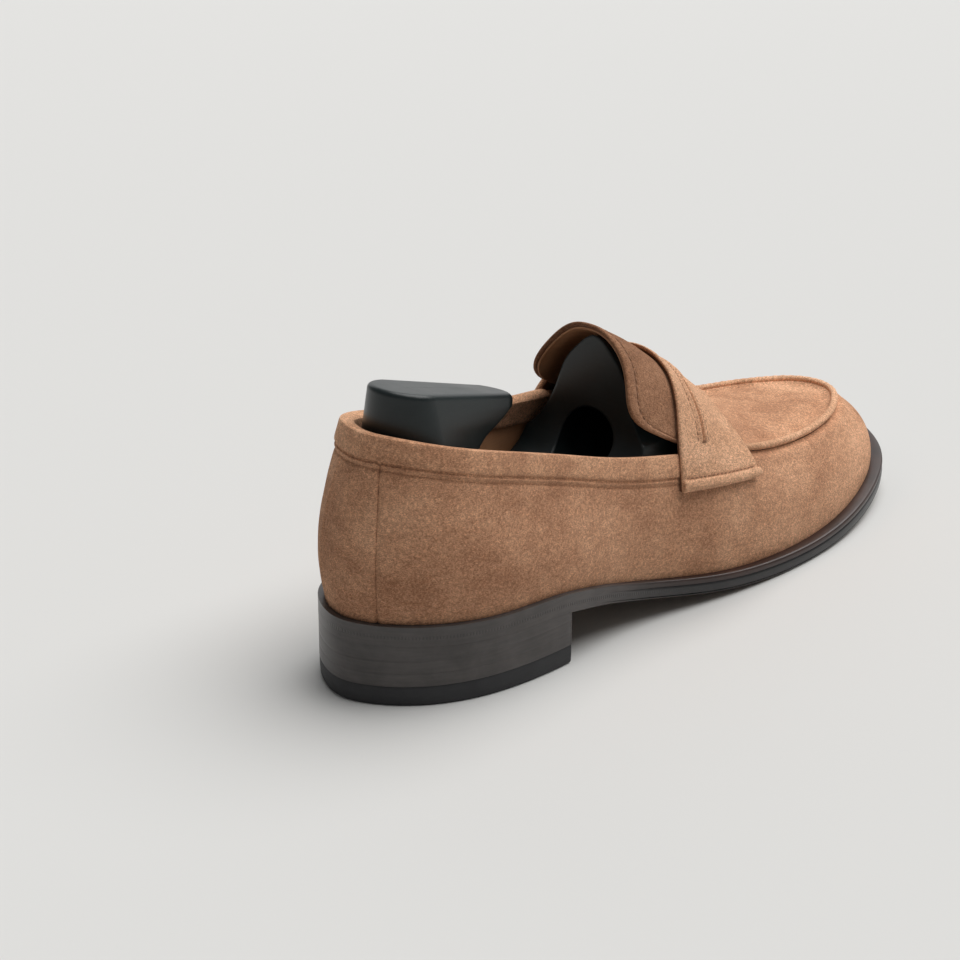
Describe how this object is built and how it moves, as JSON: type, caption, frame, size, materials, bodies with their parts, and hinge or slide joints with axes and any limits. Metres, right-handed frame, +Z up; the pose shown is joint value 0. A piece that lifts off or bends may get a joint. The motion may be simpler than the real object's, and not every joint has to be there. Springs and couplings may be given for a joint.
{
  "type": "penny loafer",
  "caption": "Suede penny loafer for the right foot with leather sole, stacked heel, and a hinged two-part shoe tree inside.",
  "frame": {"origin": "on the ground, under the middle of the sole's length and width", "axes": "+X towards the toe, -Y the lateral (outer) side of a right shoe, +Z up"},
  "size_m": [0.298, 0.1015, 0.1038],
  "materials": {
    "suede": "napped suede",
    "lining_leather": "smooth, dull",
    "insole_leather": "smooth, dull",
    "sole_leather": "stained and polished edge",
    "heel_leather": "stained and polished edge",
    "welt_leather": "stained, satin",
    "stiffener": "matt",
    "cork": "granular",
    "rubber": "matt",
    "steel": "plain",
    "tree_paint": "satin dark green-black paint"
  },
  "bodies": {
    "shoe": {"apron": "suede", "apron_lining": "lining_leather", "apron_seam": "suede", "cork_filler": "cork", "heel_lift_lower": "heel_leather", "heel_lift_upper": "heel_leather", "heel_nails": "steel", "heel_seat_lift": "heel_leather", "heel_stiffener": "stiffener", "heel_strip": "suede", "insole": "insole_leather", "lateral_stay": "stiffener", "lateral_strap_bar": "suede", "medial_stay": "stiffener", "medial_strap_bar": "suede", "outsole": "sole_leather", "quarter_lining": "lining_leather", "rubber_top_lift": "rubber", "saddle_strap": "suede", "shank": "steel", "sock_liner": "lining_leather", "strap_backing": "stiffener", "toe_puff": "stiffener", "tongue": "suede", "tongue_lining": "lining_leather", "top_lift_brads": "steel", "topline_binding": "suede", "tree_forepart": "tree_paint", "tree_hinge_pin": "steel", "vamp": "suede", "vamp_doublers": "stiffener", "vamp_lining": "lining_leather", "welt": "welt_leather"},
    "tree_heel": {"tree_heel_block": "tree_paint"}
  },
  "joints": [
    {"name": "tree_hinge", "type": "hinge", "parent": "shoe", "child": "tree_heel", "pos_m": [-0.066, -0.002, 0.041], "axis": [0, 1, 0], "range_deg": [0, 40]}
  ]
}
